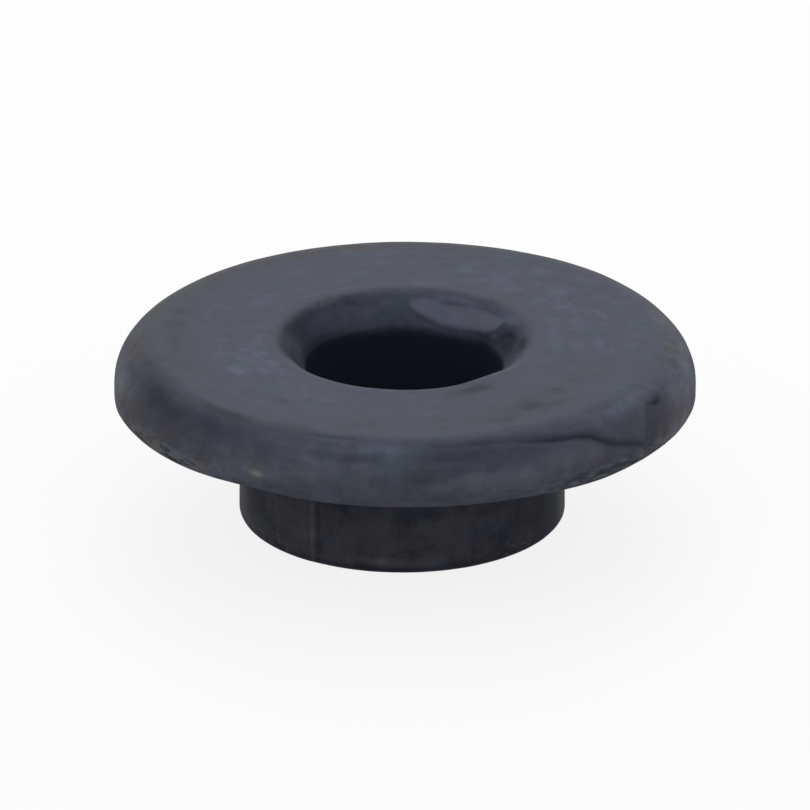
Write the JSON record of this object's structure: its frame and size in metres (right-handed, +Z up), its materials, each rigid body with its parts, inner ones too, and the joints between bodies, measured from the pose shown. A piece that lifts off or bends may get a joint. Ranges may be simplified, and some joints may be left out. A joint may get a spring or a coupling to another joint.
{
  "type": "vacuum breaker seal",
  "caption": "Rubber vacuum breaker seal: a thick round flange with a rounded rim over a short collar, with a through bore that opens into a shallow funnel at the top.",
  "frame": {"origin": "centre of the collar's foot, on the surface the seal stands on", "axes": "+Z up along the bore's axis, from the collar's foot to the flange's top face; X and Y are equivalent, and -Y faces the viewer"},
  "size_m": [0.0285, 0.0284, 0.0091],
  "materials": {
    "rubber": "matt black rubber with a greyish bloom, lightly worn"
  },
  "bodies": {
    "root": {"seal": "rubber"}
  },
  "joints": []
}
